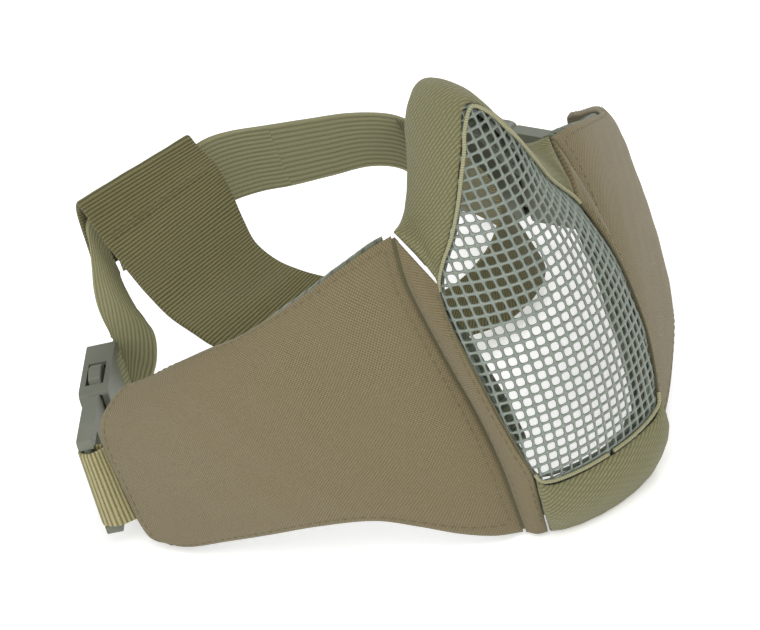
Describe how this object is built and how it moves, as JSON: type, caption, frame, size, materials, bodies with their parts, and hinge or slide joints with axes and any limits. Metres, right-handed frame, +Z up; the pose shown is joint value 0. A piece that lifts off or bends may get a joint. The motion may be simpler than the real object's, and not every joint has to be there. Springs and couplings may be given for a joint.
{
  "type": "mesh face mask",
  "caption": "Lower-face mask: domed wire-mesh front in a padded cloth frame, folding padded cheek wings and an elastic head and nape harness with side-release buckles.",
  "frame": {"origin": "flat underside of the chin band, at its front centre", "axes": "+Z up through the nose, the front faces -Y, +X towards the wearer's left"},
  "size_m": [0.199, 0.1851, 0.1321],
  "materials": {
    "mesh_wire": "semi-gloss paint",
    "piping": "ribbed cord",
    "green_trim": "ribbed spacer cloth",
    "foam": "foam",
    "lining": "fuzzy spacer mesh",
    "tan_cloth": "coarse plain weave",
    "buckle_plastic": "slightly glossy",
    "tab_webbing": "striped webbing",
    "wide_elastic": "ribbed elastic",
    "narrow_elastic": "ribbed elastic"
  },
  "bodies": {
    "front": {"mesh_panel": "mesh_wire", "nose_trim": "green_trim", "nose_foam": "foam", "nose_lining": "lining", "chin_trim": "green_trim", "chin_foam": "foam", "chin_lining": "lining", "rim_wire": "mesh_wire", "opening_binding": "piping", "right_front_strip": "tan_cloth", "right_strip_padding": "foam", "right_strip_lining": "lining", "left_front_strip": "tan_cloth", "left_strip_padding": "foam", "left_strip_lining": "lining", "right_strap_leg": "narrow_elastic", "head_strap": "narrow_elastic", "nape_band": "wide_elastic"},
    "right_cheek": {"right_cheek_shell": "tan_cloth", "right_cheek_foam": "foam", "right_cheek_lining": "lining", "right_webbing_tab": "tab_webbing", "right_buckle_plug": "buckle_plastic", "right_buckle_socket": "buckle_plastic", "right_strap_loop": "narrow_elastic"},
    "left_cheek": {"left_cheek_shell": "tan_cloth", "left_cheek_foam": "foam", "left_cheek_lining": "lining", "left_webbing_tab": "tab_webbing", "left_buckle_plug": "buckle_plastic", "left_buckle_socket": "buckle_plastic", "left_strap_loop": "narrow_elastic"},
    "right_upper_prong": {"right_upper_prong": "buckle_plastic"},
    "right_lower_prong": {"right_lower_prong": "buckle_plastic"},
    "left_upper_prong": {"left_upper_prong": "buckle_plastic"},
    "left_lower_prong": {"left_lower_prong": "buckle_plastic"}
  },
  "joints": [
    {"name": "right_cheek_fold", "type": "hinge", "parent": "front", "child": "right_cheek", "pos_m": [-0.0261, 0.0096, 0.03], "axis": [-0.0662, 0.2017, 0.9772], "range_deg": [-12, 12], "deforming": ["right_strap_leg", "head_strap", "nape_band"]},
    {"name": "left_cheek_fold", "type": "hinge", "parent": "front", "child": "left_cheek", "pos_m": [0.0261, 0.0096, 0.03], "axis": [-0.0662, -0.2017, -0.9772], "range_deg": [-12, 12], "deforming": ["right_strap_leg", "head_strap", "nape_band"]},
    {"name": "right_upper_prong_squeeze", "type": "hinge", "parent": "right_cheek", "child": "right_upper_prong", "pos_m": [-0.07983, 0.13843, 0.0327], "axis": [-0.7705, 0.6374, 0], "range_deg": [0, 5], "stiffness_Nm_per_rad": 0.02},
    {"name": "right_lower_prong_squeeze", "type": "hinge", "parent": "right_cheek", "child": "right_lower_prong", "pos_m": [-0.07983, 0.13843, 0.0123], "axis": [-0.7705, 0.6374, 0], "range_deg": [-5, 0], "stiffness_Nm_per_rad": 0.02},
    {"name": "left_upper_prong_squeeze", "type": "hinge", "parent": "left_cheek", "child": "left_upper_prong", "pos_m": [0.0912, 0.14387, 0.0327], "axis": [-0.9798, -0.2, 0], "range_deg": [0, 5], "stiffness_Nm_per_rad": 0.02},
    {"name": "left_lower_prong_squeeze", "type": "hinge", "parent": "left_cheek", "child": "left_lower_prong", "pos_m": [0.0912, 0.14387, 0.0123], "axis": [-0.9798, -0.2, 0], "range_deg": [-5, 0], "stiffness_Nm_per_rad": 0.02}
  ],
  "couplings": [
    {"joint": "right_lower_prong_squeeze", "follows": "right_upper_prong_squeeze", "ratio": -1},
    {"joint": "left_lower_prong_squeeze", "follows": "left_upper_prong_squeeze", "ratio": -1}
  ]
}
